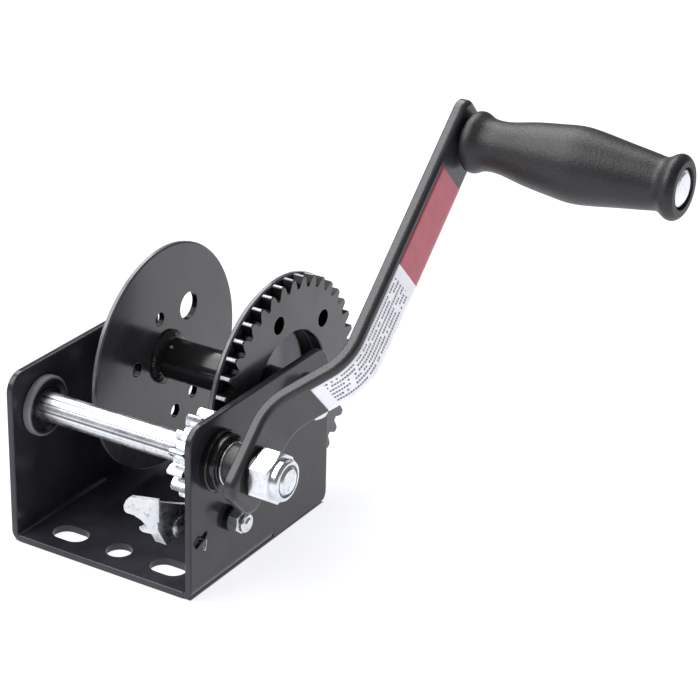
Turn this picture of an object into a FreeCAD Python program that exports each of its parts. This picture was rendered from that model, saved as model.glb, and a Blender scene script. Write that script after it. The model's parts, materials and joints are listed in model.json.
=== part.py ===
import FreeCAD, Part
import math
import os

# Hand winch for a boat trailer: steel frame, geared drum, ratchet pawl and crank with a turning grip.
# Millimetres. X runs along the drum axis towards the crank, Y from the pinion end to the drum end, Z up.
# The origin is the middle bolt hole of the front row, on the underside of the base.

# ---- driving dimensions -------------------------------------------------------------------------
FRAME_WIDTH = 88.0
FRAME_HEIGHT = 73.0
FRAME_FRONT = -13.0
FRAME_REAR = 85.0
PLATE = 3.0
BEND_INSIDE_RADIUS = 1.5
BEND_END = 45.0
TONGUE_END = 82.0
TONGUE_GAP = 0.6
REAR_LIFT = 2.0
FRONT_CORNER_RADIUS = 8.0
REAR_CORNER_RADIUS = 10.0
LOW_CORNER_RADIUS = 4.0
RIM_ROUNDING = 0.7

BOLT_HOLE_RADIUS = 5.5
SLOT_LENGTH = 16.0
SLOT_OFFSET = 24.0
REAR_HOLE_Y = 38.0
SPRING_SLOT = (-6.1, 24.4)
SPRING_SLOT_TILT = 24.0
SPRING_SLOT_LENGTH = 9.0
SPRING_SLOT_WIDTH = 2.8

PINION_Y = 5.3
PINION_Z = 54.3
PINION_TEETH = 13
GEAR_TEETH = 39
MODULE = 2.4
PRESSURE_ANGLE = 25.0
TOOTH_SLACK = 0.4
TIP_CHAMFER = 0.5
TIP_RELIEF = 0.5
TIP_LAND = 0.8
PINION_TIP_RADIUS = 17.8
GEAR_TIP_RADIUS = 48.7
ROOT_CLEARANCE = 0.6
MESH_TILT = -10.9
CENTRE_LINE_DROP = 1.2
PINION_START_X = 32.3
PINION_END_X = 39.3
COLLAR_START_X = 28.6
COLLAR_RADIUS = 7.8

SHAFT_RADIUS = 6.0
SHAFT_FIT = 0.05
SHAFT_FLAT = 5.0
BUSH_BARREL_RADIUS = 8.0
BUSH_FLANGE_RADIUS = 12.5
RIGHT_BUSH_LENGTH = 5.9
PRESS_GAP = 0.05
HANDLE_WASHER_RADIUS = 8.9
HANDLE_WASHER_THICKNESS = 1.2
SPACER_RADIUS = 8.3
NUT_WASHER_RADIUS = 9.8
NUT_WASHER_THICKNESS = 1.8
HANDLE_NUT_FLATS = 19.0
HANDLE_NUT_HEIGHT = 8.2
HANDLE_NUT_END = 11.7
HANDLE_NUT_TURN = 26.0
LOCK_RING_RADIUS = 7.25

FLANGE_RADIUS = 48.8
FLANGE_THICKNESS = 2.5
FLANGE_ROUNDING = 0.6
LEFT_FLANGE_X = -24.4
GEAR_BACK_X = 31.5
GEAR_THICKNESS = 5.0
DISH_RADIUS = 26.0
DISH_DEPTH = 6.0
HUB_RADIUS = 8.7
HUB_BORE = 6.2
HUB_END_GAP = 0.4
WELD_GAP = 0.03
SLEEVE_RADIUS = 6.1
AXLE_RADIUS = 5.0
AXLE_WASHER_THICKNESS = 2.0
AXLE_FLATS = 14.0
AXLE_HEX_TURN = 50.0
# Holes of the left flange: distance from the axis, angle from +Y towards +Z, radius.
ROPE_HOLES = ((23.4, 47.7, 6.1), (19.1, 104.6, 3.0), (21.0, 175.0, 3.0), (29.7, -51.8, 3.0),
              (28.0, -78.9, 3.0))
GEAR_HOLES = 6
GEAR_HOLE_CIRCLE = 34.0
GEAR_HOLE_RADIUS = 3.7
GEAR_HOLE_START = 45.0

PAWL_Y = 13.0
PAWL_Z = 25.5
PAWL_FACE_X = 35.0
PAWL_THICKNESS = 2.6
PAWL_FRONT = -23.0
PAWL_BEND_RADIUS = 2.3
PAWL_LEG_WIDTH = 5.0
PAWL_BOSS = (-7.4, 28.2)
PAWL_BOSS_RADIUS = 4.2
PAWL_SLEEVE_RADIUS = 4.5
PAWL_BOLT_RADIUS = 2.5
PAWL_WASHER_RADIUS = 5.0
PAWL_WASHER_THICKNESS = 2.4
PAWL_NUT_FLATS = 8.8

CRANK_LENGTH = 152.8
CRANK_LEAN = 43.6
BAR_WIDTH = 25.0
BAR_THICKNESS = 5.0
BAR_INNER_X = 57.6
BAR_OFFSET = 23.6
FIRST_BEND = 24.0
SECOND_BEND = 50.0
BEND_RADIUS = 20.0
BAR_START = -15.5
BAR_START_CORNER = 7.0
BAR_END = 166.0
BAR_END_CORNER = 6.0
BAR_OUTER_ROUNDING = 2.2
BAR_INNER_ROUNDING = 0.8

GRIP_START_X = 88.4
GRIP_END_X = 179.0
GRIP_PIN_RADIUS = 4.0
GRIP_BORE = 4.1
RIVET_HEAD_RADIUS = 7.2

NEAR = 0.01

# ---- values that follow from them ---------------------------------------------------------------
OUTER_X = FRAME_WIDTH / 2
INNER_X = OUTER_X - PLATE
CENTRE_DISTANCE = MODULE * (PINION_TEETH + GEAR_TEETH) / 2
DRUM_Y = PINION_Y + math.sqrt(CENTRE_DISTANCE ** 2 - CENTRE_LINE_DROP ** 2)
DRUM_Z = PINION_Z + CENTRE_LINE_DROP
PINION_AXIS = (PINION_Y, PINION_Z)
DRUM_AXIS = (DRUM_Y, DRUM_Z)
PAWL_AXIS = (PAWL_Y, PAWL_Z)
GEAR_FRONT_X = GEAR_BACK_X + GEAR_THICKNESS
BUSH_END_X = OUTER_X + RIGHT_BUSH_LENGTH
BAR_OUTER_X = BAR_INNER_X + BAR_THICKNESS
HANDLE_NUT_X = BAR_OUTER_X + NUT_WASHER_THICKNESS
GRIP_FACE_X = BAR_OUTER_X + BAR_OFFSET
PAWL_HEAD_X = PAWL_FACE_X - PAWL_THICKNESS - 0.4
X_DIRECTION = FreeCAD.Vector(1, 0, 0)
Z_DIRECTION = FreeCAD.Vector(0, 0, 1)


# ---- shape helpers ------------------------------------------------------------------------------
def vec(x, y, z):
    return FreeCAD.Vector(x, y, z)


def rod(x_start, x_end, radius, axis):
    """Solid cylinder along X on an axis given as (y, z)."""
    return Part.makeCylinder(radius, x_end - x_start, vec(x_start, axis[0], axis[1]), X_DIRECTION)


def ring(x_start, x_end, outer, inner, axis):
    """Tube along X with an outer and an inner radius."""
    overrun = 1.0
    return rod(x_start, x_end, outer, axis).cut(rod(x_start - overrun, x_end + overrun, inner, axis))


def turned(profile, axis):
    """Solid of revolution about X; the profile is a closed list of (x, radius)."""
    points = [vec(x, radius, 0) for x, radius in profile]
    face = Part.Face(Part.makePolygon(points + points[:1]))
    solid = face.revolve(vec(0, 0, 0), X_DIRECTION, 360)
    solid.translate(vec(0, axis[0], axis[1]))
    return solid


def side_plate(x_start, x_end, outline):
    """Flat plate across X cut to an outline, a closed list of (y, z)."""
    points = [vec(x_start, y, z) for y, z in outline]
    return Part.Face(Part.makePolygon(points + points[:1])).extrude(vec(x_end - x_start, 0, 0))


def edges_where(shape, test):
    """Edges whose middle point passes a test."""
    chosen = []
    for edge in shape.Edges:
        if test(edge.valueAt((edge.FirstParameter + edge.LastParameter) / 2)):
            chosen.append(edge)
    return chosen


def slot_through(centre, length, width, direction, normal, depth):
    """Cutter for a round-ended slot; it is centred on a point and runs both ways along the normal."""
    along = direction * ((length - width) / 2)
    across = normal.cross(direction) * (width / 2)
    start = centre - normal * (depth / 2)
    corners = [start + along + across, start - along + across, start - along - across, start + along - across]
    cutter = Part.Face(Part.makePolygon(corners + corners[:1])).extrude(normal * depth)
    for end in (start + along, start - along):
        cutter = cutter.fuse(Part.makeCylinder(width / 2, depth, end, normal))
    return cutter.removeSplitter()


def hex_prism(x_start, x_end, across_flats, axis, turn):
    """Hexagon along X, turned by an angle, with its corners chamfered at the far end."""
    corner = across_flats / math.sqrt(3)
    outline = []
    for index in range(6):
        angle = math.radians(60 * index + turn)
        outline.append((axis[0] + corner * math.cos(angle), axis[1] + corner * math.sin(angle)))
    body = side_plate(x_start, x_end, outline)
    chamfer = (corner - across_flats / 2) * 0.6
    end_circle = across_flats / 2 * 0.97
    cone = turned([(x_start, 0), (x_start, corner), (x_end - chamfer, corner), (x_end, end_circle),
                   (x_end, 0)], axis)
    return body.common(cone)


def crank_frame(shape):
    """Turn a shape built along +Y from the X axis into the crank's rest position."""
    shape.rotate(vec(0, 0, 0), X_DIRECTION, CRANK_LEAN)
    shape.translate(vec(0, PINION_Y, PINION_Z))
    return shape


# ---- gears --------------------------------------------------------------------------------------
def involute_angle(base_radius, radius):
    """Polar angle of an involute at a radius, counted from where it leaves the base circle."""
    if radius <= base_radius:
        return 0.0
    roll = math.sqrt((radius / base_radius) ** 2 - 1)
    return roll - math.atan(roll)


def gear_blank(teeth, tip_radius, root_radius, first_tooth_angle, x_start, x_end, axis):
    """Spur gear along X; angles are counted from +Y towards +Z."""
    pitch_radius = MODULE * teeth / 2
    base_radius = pitch_radius * math.cos(math.radians(PRESSURE_ANGLE))
    half_tooth = (math.pi * MODULE / 2 - TOOTH_SLACK) / 2 / pitch_radius
    half_at_base = half_tooth + involute_angle(base_radius, pitch_radius)
    half_land = TIP_LAND / 2 / tip_radius
    flank_start = max(base_radius, root_radius)
    flank_end = tip_radius - TIP_RELIEF
    flank_steps = 5
    edges = []

    def point(radius, angle):
        return vec(x_start, axis[0] + radius * math.cos(angle), axis[1] + radius * math.sin(angle))

    def flank(centre, sign):
        """Points of one tooth flank from the root to where the tip is relieved."""
        points = []
        for step in range(flank_steps + 1):
            radius = flank_start + (flank_end - flank_start) * step / flank_steps
            angle = centre + sign * (half_at_base - involute_angle(base_radius, radius))
            points.append(point(radius, angle))
        return points

    def smooth(points):
        curve = Part.BSplineCurve()
        curve.interpolate(points)
        return curve.toShape()

    step_angle = 2 * math.pi / teeth
    for tooth in range(teeth):
        centre = math.radians(first_tooth_angle) + tooth * step_angle
        rising = flank(centre, -1)
        falling = flank(centre, 1)[::-1]
        next_start = flank(centre + step_angle, -1)[0]
        root_in = point(root_radius, centre + half_at_base)
        root_out = point(root_radius, centre + step_angle - half_at_base)
        root_middle = point(root_radius, centre + step_angle / 2)
        edges.append(smooth(rising))
        land_in = point(tip_radius, centre - half_land)
        land_out = point(tip_radius, centre + half_land)
        edges.append(Part.makeLine(rising[-1], land_in))
        edges.append(Part.Arc(land_in, point(tip_radius, centre), land_out).toShape())
        edges.append(Part.makeLine(land_out, falling[0]))
        edges.append(smooth(falling))
        if root_radius < flank_start:
            edges.append(Part.makeLine(falling[-1], root_in))
            edges.append(Part.Arc(root_in, root_middle, root_out).toShape())
            edges.append(Part.makeLine(root_out, next_start))
        else:
            edges.append(Part.Arc(falling[-1], root_middle, next_start).toShape())
    gear = Part.Face(Part.Wire(edges)).extrude(vec(x_end - x_start, 0, 0))
    soft = TIP_CHAMFER
    chamfered = turned([(x_start, 0), (x_start, tip_radius - soft), (x_start + soft, tip_radius + NEAR),
                        (x_end - soft, tip_radius + NEAR), (x_end, tip_radius - soft), (x_end, 0)], axis)
    return gear.common(chamfered)


CENTRE_LINE_ANGLE = math.degrees(math.atan2(CENTRE_LINE_DROP, DRUM_Y - PINION_Y))
PINION_PHASE = CENTRE_LINE_ANGLE + MESH_TILT
GEAR_PHASE = 180 + CENTRE_LINE_ANGLE - MESH_TILT * PINION_TEETH / GEAR_TEETH + 180 / GEAR_TEETH


# ---- frame --------------------------------------------------------------------------------------
def frame():
    """Bent channel: a base with two side plates; behind the bends the base goes on as a flat tongue."""
    outer_bend = BEND_INSIDE_RADIUS + PLATE
    outline = [vec(-OUTER_X, FRAME_FRONT, FRAME_HEIGHT), vec(-OUTER_X, FRAME_FRONT, 0),
               vec(OUTER_X, FRAME_FRONT, 0), vec(OUTER_X, FRAME_FRONT, FRAME_HEIGHT),
               vec(INNER_X, FRAME_FRONT, FRAME_HEIGHT), vec(INNER_X, FRAME_FRONT, PLATE),
               vec(-INNER_X, FRAME_FRONT, PLATE), vec(-INNER_X, FRAME_FRONT, FRAME_HEIGHT)]
    channel = Part.Face(Part.makePolygon(outline + outline[:1]))
    channel = channel.extrude(vec(0, FRAME_REAR - FRAME_FRONT, 0))
    outside = edges_where(channel, lambda middle: middle.z < NEAR and abs(abs(middle.x) - OUTER_X) < NEAR)
    channel = channel.makeFillet(outer_bend, outside)
    inside = edges_where(channel, lambda middle: abs(middle.z - PLATE) < NEAR
                         and abs(abs(middle.x) - INNER_X) < NEAR)
    channel = channel.makeFillet(BEND_INSIDE_RADIUS, inside)

    # Behind the bends: straight skirts under the two plates and the tongue between them.
    overlap = 1.0
    rear_length = FRAME_REAR - BEND_END
    trim_height = outer_bend + overlap
    shape = channel.cut(Part.makeBox(FRAME_WIDTH, rear_length, trim_height, vec(-OUTER_X, BEND_END, 0)))
    tongue_half = INNER_X - TONGUE_GAP
    tongue = Part.makeBox(2 * tongue_half, TONGUE_END - BEND_END + overlap, PLATE,
                          vec(-tongue_half, BEND_END - overlap, 0))
    tongue_corners = edges_where(tongue, lambda middle: abs(middle.y - TONGUE_END) < NEAR
                                 and abs(abs(middle.x) - tongue_half) < NEAR)
    shape = shape.fuse(tongue.makeFillet(LOW_CORNER_RADIUS, tongue_corners))
    for skirt_x in (INNER_X, -OUTER_X):
        skirt = Part.makeBox(PLATE, rear_length, trim_height - REAR_LIFT, vec(skirt_x, BEND_END, REAR_LIFT))
        shape = shape.fuse(skirt)

    # Side view: rounded corners of the two plates.
    side_view = side_plate(-OUTER_X, OUTER_X, [(FRAME_FRONT, 0), (FRAME_REAR, 0),
                                               (FRAME_REAR, FRAME_HEIGHT), (FRAME_FRONT, FRAME_HEIGHT)])
    for y, z, radius in ((FRAME_FRONT, FRAME_HEIGHT, FRONT_CORNER_RADIUS),
                         (FRAME_REAR, FRAME_HEIGHT, REAR_CORNER_RADIUS),
                         (FRAME_REAR, 0, LOW_CORNER_RADIUS + REAR_LIFT)):
        corner = edges_where(side_view, lambda middle: abs(middle.y - y) < NEAR and abs(middle.z - z) < NEAR)
        side_view = side_view.makeFillet(radius, corner)
    shape = shape.common(side_view).removeSplitter()

    # Soft edges round both plates.
    def on_rim(middle):
        on_plate_face = min(abs(abs(middle.x) - OUTER_X), abs(abs(middle.x) - INNER_X)) < NEAR
        at_front = middle.y < FRAME_FRONT + NEAR
        at_rear = middle.y > FRAME_REAR - REAR_CORNER_RADIUS
        at_top = middle.z > FRAME_HEIGHT - FRONT_CORNER_RADIUS
        return on_plate_face and middle.z > outer_bend and (at_front or at_rear or at_top)

    shape = shape.makeFillet(RIM_ROUNDING, edges_where(shape, on_rim))

    # Floor holes: two slots across the frame, a hole between them and one further back.
    for x in (-SLOT_OFFSET, SLOT_OFFSET):
        shape = shape.cut(slot_through(vec(x, 0, PLATE / 2), SLOT_LENGTH, 2 * BOLT_HOLE_RADIUS,
                                       X_DIRECTION, Z_DIRECTION, 3 * PLATE))
    for y in (0.0, REAR_HOLE_Y):
        shape = shape.cut(Part.makeCylinder(BOLT_HOLE_RADIUS, 3 * PLATE, vec(0, y, -PLATE), Z_DIRECTION))

    # Plate holes: shaft bushes, drum bolt, pawl bolt and the slot that anchors the pawl spring.
    reach = OUTER_X + overlap
    shape = shape.cut(rod(-reach, reach, BUSH_BARREL_RADIUS + PRESS_GAP, PINION_AXIS))
    shape = shape.cut(rod(-reach, reach, AXLE_RADIUS + SHAFT_FIT, DRUM_AXIS))
    shape = shape.cut(rod(INNER_X - overlap, reach, PAWL_BOLT_RADIUS + SHAFT_FIT, PAWL_AXIS))
    tilt = math.radians(SPRING_SLOT_TILT)
    slot_centre = vec(INNER_X + PLATE / 2, SPRING_SLOT[0], SPRING_SLOT[1])
    shape = shape.cut(slot_through(slot_centre, SPRING_SLOT_LENGTH, SPRING_SLOT_WIDTH,
                                   vec(0, math.cos(tilt), math.sin(tilt)), X_DIRECTION, 3 * PLATE))
    return shape


# ---- pinion shaft line --------------------------------------------------------------------------
def left_shaft_bush():
    """Flanged bush pressed in from the inside, with a shallow dish in its face."""
    barrel_end = -OUTER_X - 0.8
    face = -INNER_X + 3.6
    dish = face - 1.4
    lip = face - 0.6
    return turned([(barrel_end, SHAFT_RADIUS + SHAFT_FIT), (barrel_end, BUSH_BARREL_RADIUS),
                   (-INNER_X, BUSH_BARREL_RADIUS), (-INNER_X, BUSH_FLANGE_RADIUS - 0.5),
                   (-INNER_X + 0.5, BUSH_FLANGE_RADIUS), (lip, BUSH_FLANGE_RADIUS),
                   (face, BUSH_FLANGE_RADIUS - 0.6), (face, BUSH_FLANGE_RADIUS - 1.8),
                   (dish, BUSH_FLANGE_RADIUS - 3.0), (dish, SHAFT_RADIUS + 1.6),
                   (lip, SHAFT_RADIUS + 1.2), (lip, SHAFT_RADIUS + SHAFT_FIT)], PINION_AXIS)


def right_shaft_bush():
    """Bush with a grooved boss outside the plate."""
    barrel_start = INNER_X - 0.6
    end = OUTER_X + RIGHT_BUSH_LENGTH
    groove_start = OUTER_X + 2.9
    groove_end = OUTER_X + 3.7
    groove = BUSH_FLANGE_RADIUS - 1.4
    outer_ring = BUSH_FLANGE_RADIUS - 0.9
    soft = 0.5
    return turned([(barrel_start, SHAFT_RADIUS + SHAFT_FIT), (barrel_start, BUSH_BARREL_RADIUS),
                   (OUTER_X, BUSH_BARREL_RADIUS), (OUTER_X, BUSH_FLANGE_RADIUS),
                   (groove_start - soft, BUSH_FLANGE_RADIUS), (groove_start, BUSH_FLANGE_RADIUS - soft),
                   (groove_start, groove), (groove_end, groove), (groove_end, outer_ring),
                   (end - soft, outer_ring), (end, outer_ring - soft), (end, SHAFT_RADIUS + SHAFT_FIT)],
                  PINION_AXIS)


def pinion_shaft():
    """Shaft with a clip groove at the left, two flats for the crank and a thread at the right."""
    left_end = -OUTER_X - 4.0
    groove_start = -OUTER_X - 3.0
    groove_end = -OUTER_X - 1.8
    groove = SHAFT_RADIUS - 0.8
    thread = SHAFT_RADIUS - 0.3
    thread_end = HANDLE_NUT_X + HANDLE_NUT_END + 0.6
    shaft = turned([(left_end, 0), (left_end, SHAFT_RADIUS - 0.6), (left_end + 0.6, SHAFT_RADIUS),
                    (groove_start, SHAFT_RADIUS), (groove_start, groove), (groove_end, groove),
                    (groove_end, SHAFT_RADIUS), (BAR_OUTER_X, SHAFT_RADIUS), (BAR_OUTER_X, thread),
                    (thread_end - 0.9, thread), (thread_end, SHAFT_RADIUS - 1.2), (thread_end, 0)],
                   PINION_AXIS)
    for flat_z in (SHAFT_FLAT, -SHAFT_FLAT - SHAFT_RADIUS):
        flat = Part.makeBox(BAR_OUTER_X + 0.5 - BAR_INNER_X, 2 * SHAFT_RADIUS, SHAFT_RADIUS,
                            vec(BAR_INNER_X, -SHAFT_RADIUS, flat_z))
        shaft = shaft.cut(crank_frame(flat))
    return shaft


def pinion_gear():
    root = CENTRE_DISTANCE - GEAR_TIP_RADIUS - ROOT_CLEARANCE
    blank = gear_blank(PINION_TEETH, PINION_TIP_RADIUS, root, PINION_PHASE, PINION_START_X, PINION_END_X,
                       PINION_AXIS)
    return blank.cut(rod(PINION_START_X - 1, PINION_END_X + 1, SHAFT_RADIUS + SHAFT_FIT, PINION_AXIS))


def pinion_collar():
    soft = 0.4
    bore = SHAFT_RADIUS + SHAFT_FIT
    return turned([(COLLAR_START_X, bore), (COLLAR_START_X, COLLAR_RADIUS - soft),
                   (COLLAR_START_X + soft, COLLAR_RADIUS), (PINION_START_X - soft, COLLAR_RADIUS),
                   (PINION_START_X, COLLAR_RADIUS - soft), (PINION_START_X, bore)], PINION_AXIS)


def shaft_end_washer():
    return ring(-OUTER_X - 1.85, -OUTER_X - 0.85, 10.5, SHAFT_RADIUS + SHAFT_FIT, PINION_AXIS)


def shaft_retaining_clip():
    """Open E-clip in the groove at the left end of the shaft."""
    clip = ring(-OUTER_X - 2.9, -OUTER_X - 1.9, 9.2, SHAFT_RADIUS - 0.75, PINION_AXIS)
    mouth = Part.makeBox(2.0, 7.5, 12.0, vec(-OUTER_X - 3.4, PINION_Y - 3.75, PINION_Z - 12.0))
    return clip.cut(mouth)


def handle_washer():
    soft = 0.3
    start = BUSH_END_X + 0.1
    end = start + HANDLE_WASHER_THICKNESS
    return turned([(start, SHAFT_RADIUS + SHAFT_FIT), (start, HANDLE_WASHER_RADIUS - soft),
                   (start + soft, HANDLE_WASHER_RADIUS), (end - soft, HANDLE_WASHER_RADIUS),
                   (end, HANDLE_WASHER_RADIUS - soft), (end, SHAFT_RADIUS + SHAFT_FIT)], PINION_AXIS)


def handle_spacer():
    return ring(BUSH_END_X + 0.1 + HANDLE_WASHER_THICKNESS, BAR_INNER_X, SPACER_RADIUS,
                SHAFT_RADIUS + SHAFT_FIT, PINION_AXIS)


def nut_washer():
    return ring(BAR_OUTER_X, HANDLE_NUT_X, NUT_WASHER_RADIUS, SHAFT_RADIUS + SHAFT_FIT, PINION_AXIS)


def handle_nut():
    """Hexagon lock nut with a round collar that holds the nylon ring."""
    start = HANDLE_NUT_X
    end = start + HANDLE_NUT_END
    collar_start = start + HANDLE_NUT_HEIGHT
    collar_radius = 8.4
    thread = SHAFT_RADIUS - 0.25
    body = hex_prism(start, collar_start, HANDLE_NUT_FLATS, PINION_AXIS, HANDLE_NUT_TURN)
    collar = turned([(collar_start - 1.0, 0), (collar_start - 1.0, collar_radius), (end - 1.2, collar_radius),
                     (end - 0.3, collar_radius - 0.5), (end, collar_radius - 1.1), (end, 0)], PINION_AXIS)
    pocket = rod(end - 3.0, end - 0.9, LOCK_RING_RADIUS + SHAFT_FIT, PINION_AXIS)
    bore = rod(start - 1.0, end + 1.0, thread, PINION_AXIS)
    mouth = rod(end - 1.0, end + 1.0, LOCK_RING_RADIUS - 0.7, PINION_AXIS)
    return body.fuse(collar).cut(pocket).cut(bore).cut(mouth)


def nut_lock_ring():
    end = HANDLE_NUT_X + HANDLE_NUT_END
    return ring(end - 2.95, end - 0.95, LOCK_RING_RADIUS, SHAFT_RADIUS - 0.25, PINION_AXIS)


# ---- crank --------------------------------------------------------------------------------------
def crank_bar():
    """Flat bar with two bends and rounded ends, one on the shaft and one at the grip."""
    start = BAR_START
    rise = BAR_OFFSET
    run = SECOND_BEND - FIRST_BEND
    shift = BAR_THICKNESS * (math.hypot(rise, run) - run) / rise
    inner = [(BAR_INNER_X, start), (BAR_INNER_X, FIRST_BEND), (BAR_INNER_X + rise, SECOND_BEND),
             (BAR_INNER_X + rise, BAR_END)]
    outer = [(BAR_OUTER_X + rise, BAR_END), (BAR_OUTER_X + rise, SECOND_BEND - shift),
             (BAR_OUTER_X, FIRST_BEND - shift), (BAR_OUTER_X, start)]
    points = [vec(x, y, -BAR_WIDTH / 2) for x, y in inner + outer]
    strip = Part.Face(Part.makePolygon(points + points[:1])).extrude(vec(0, 0, BAR_WIDTH))

    # Each bend has a hollow side and a full side; the full side has the bigger radius.
    hollow = (outer[2], inner[2])
    full = (inner[1], outer[1])
    for corners, radius in ((full, BEND_RADIUS + BAR_THICKNESS), (hollow, BEND_RADIUS)):
        strip = strip.makeFillet(radius, edges_where(strip, lambda middle: abs(middle.z) < NEAR and any(
            math.hypot(middle.x - x, middle.y - y) < NEAR for x, y in corners)))

    depth = 60.0
    plan_start = BAR_INNER_X - 5.0
    plan = Part.makeBox(depth, BAR_END - start, BAR_WIDTH, vec(plan_start, start, -BAR_WIDTH / 2))
    for end_y, radius in ((start, BAR_START_CORNER), (BAR_END, BAR_END_CORNER)):
        corners = edges_where(plan, lambda middle: abs(middle.y - end_y) < NEAR
                              and abs(abs(middle.z) - BAR_WIDTH / 2) < NEAR)
        plan = plan.makeFillet(radius, corners)
    bar = strip.common(plan).removeSplitter()

    # The long edges are soft, more so on the face that points away from the frame.
    def on_outline(middle, outer_side):
        on_side = abs(middle.z) > BAR_WIDTH / 2 - NEAR
        if not on_side and start + BAR_START_CORNER < middle.y < BAR_END - BAR_END_CORNER:
            return False
        inner_face = BAR_INNER_X + rise / run * min(max(middle.y - FIRST_BEND, 0.0), run)
        return (middle.x - inner_face > BAR_THICKNESS / 2) == outer_side

    for outer_side, radius in ((True, BAR_OUTER_ROUNDING), (False, BAR_INNER_ROUNDING)):
        bar = bar.makeFillet(radius, edges_where(bar, lambda middle: on_outline(middle, outer_side)))

    hole = Part.makeCylinder(SHAFT_RADIUS + SHAFT_FIT, 4 * BAR_THICKNESS, vec(plan_start, 0, 0), X_DIRECTION)
    keep = Part.makeBox(4 * BAR_THICKNESS, 4 * SHAFT_RADIUS, 2 * (SHAFT_FLAT + SHAFT_FIT),
                        vec(plan_start, -2 * SHAFT_RADIUS, -SHAFT_FLAT - SHAFT_FIT))
    bar = bar.cut(hole.common(keep))
    bar = bar.cut(Part.makeCylinder(GRIP_PIN_RADIUS + SHAFT_FIT, depth, vec(BAR_INNER_X, CRANK_LENGTH, 0),
                                    X_DIRECTION))
    return crank_frame(bar)


def turned_on_crank(profile):
    """Turned part on the grip's axis."""
    return crank_frame(turned(profile, (CRANK_LENGTH, 0)))


def grip_washer():
    return turned_on_crank([(GRIP_FACE_X, GRIP_PIN_RADIUS + SHAFT_FIT), (GRIP_FACE_X, 8.6),
                            (GRIP_FACE_X + 1.9, 8.6), (GRIP_FACE_X + 1.9, GRIP_PIN_RADIUS + SHAFT_FIT)])


def grip():
    """Barrel-shaped grip with a bead at each end and a pocket for the rivet head."""
    start = GRIP_START_X
    end = GRIP_END_X
    outline = [(start, 10.6), (start + 0.7, 11.7), (start + 2.3, 12.3), (start + 4.2, 12.1),
               (start + 6.2, 11.1), (start + 9.5, 10.3), (start + 24.0, 12.2), (start + 38.0, 14.2),
               (start + 46.0, 15.0), (start + 54.0, 14.4), (start + 68.0, 12.3), (start + 79.0, 10.7),
               (end - 8.6, 10.5), (end - 6.6, 11.3), (end - 4.6, 12.5), (end - 2.6, 12.8), (end - 1.0, 12.0),
               (end, 10.6)]
    skin = Part.BSplineCurve()
    skin.interpolate([vec(x, radius, 0) for x, radius in outline])
    pocket = [(end, 8.3), (end - 1.9, 8.0), (end - 1.9, GRIP_BORE), (start, GRIP_BORE), outline[0]]
    corners = [vec(x, radius, 0) for x, radius in [outline[-1]] + pocket]
    edges = [skin.toShape()]
    for first, second in zip(corners, corners[1:]):
        edges.append(Part.makeLine(first, second))
    solid = Part.Face(Part.Wire(edges)).revolve(vec(0, 0, 0), X_DIRECTION, 360)
    solid.translate(vec(0, CRANK_LENGTH, 0))
    return crank_frame(solid)


def grip_rivet():
    """Axle of the grip: a wide domed head in the grip's end and a hammered head behind the bar."""
    head = GRIP_END_X - 1.7
    back = BAR_INNER_X + BAR_OFFSET
    return turned_on_crank([(back - 2.4, 0), (back - 2.4, 4.2), (back - 1.4, 6.0), (back, 6.6),
                            (back, GRIP_PIN_RADIUS), (head, GRIP_PIN_RADIUS), (head, RIVET_HEAD_RADIUS),
                            (head + 0.8, RIVET_HEAD_RADIUS), (head + 1.5, 5.6), (head + 1.8, 3.0),
                            (head + 1.9, 0)])


# ---- drum ---------------------------------------------------------------------------------------
def on_drum(radius, angle):
    """(y, z) of a point at a radius and an angle around the drum's axis."""
    turn = math.radians(angle)
    return (DRUM_Y + radius * math.cos(turn), DRUM_Z + radius * math.sin(turn))


def drum_left_flange():
    soft = FLANGE_ROUNDING
    back = LEFT_FLANGE_X - FLANGE_THICKNESS
    bore = HUB_RADIUS + WELD_GAP
    flange = turned([(back, bore), (back, FLANGE_RADIUS - soft), (back + soft, FLANGE_RADIUS),
                     (LEFT_FLANGE_X - soft, FLANGE_RADIUS), (LEFT_FLANGE_X, FLANGE_RADIUS - soft),
                     (LEFT_FLANGE_X, bore)], DRUM_AXIS)
    for circle, angle, radius in ROPE_HOLES:
        flange = flange.cut(rod(back - 1, LEFT_FLANGE_X + 1, radius, on_drum(circle, angle)))
    return flange


def drum_hub():
    end = INNER_X - HUB_END_GAP
    return ring(-end, end, HUB_RADIUS, HUB_BORE, DRUM_AXIS)


def hub_weld_collar():
    """Rounded weld ring round the hub, on the left flange."""
    bore = HUB_RADIUS + WELD_GAP
    profile = [(0.0, bore), (0.0, HUB_RADIUS + 3.1), (1.0, HUB_RADIUS + 3.0), (2.0, HUB_RADIUS + 2.1),
               (2.8, HUB_RADIUS + 0.9), (3.2, bore)]
    return turned([(LEFT_FLANGE_X + x, radius) for x, radius in profile], DRUM_AXIS)


def drum_right_flange():
    """Pressed disc: a flat rim behind the gear and a dished middle that sits on the hub."""
    soft = FLANGE_ROUNDING
    front = GEAR_BACK_X
    back = front - FLANGE_THICKNESS
    wall_inside = DISH_RADIUS - 0.2
    wall_outside = wall_inside + FLANGE_THICKNESS
    corner = 1.5
    bore = HUB_RADIUS + WELD_GAP
    return turned([(back - DISH_DEPTH, bore), (back - DISH_DEPTH, wall_outside - corner),
                   (back - DISH_DEPTH + corner, wall_outside), (back, wall_outside),
                   (back, FLANGE_RADIUS - soft), (back + soft, FLANGE_RADIUS), (front - soft, FLANGE_RADIUS),
                   (front, FLANGE_RADIUS - soft), (front, wall_inside), (front - DISH_DEPTH, wall_inside),
                   (front - DISH_DEPTH, bore)], DRUM_AXIS)


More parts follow.
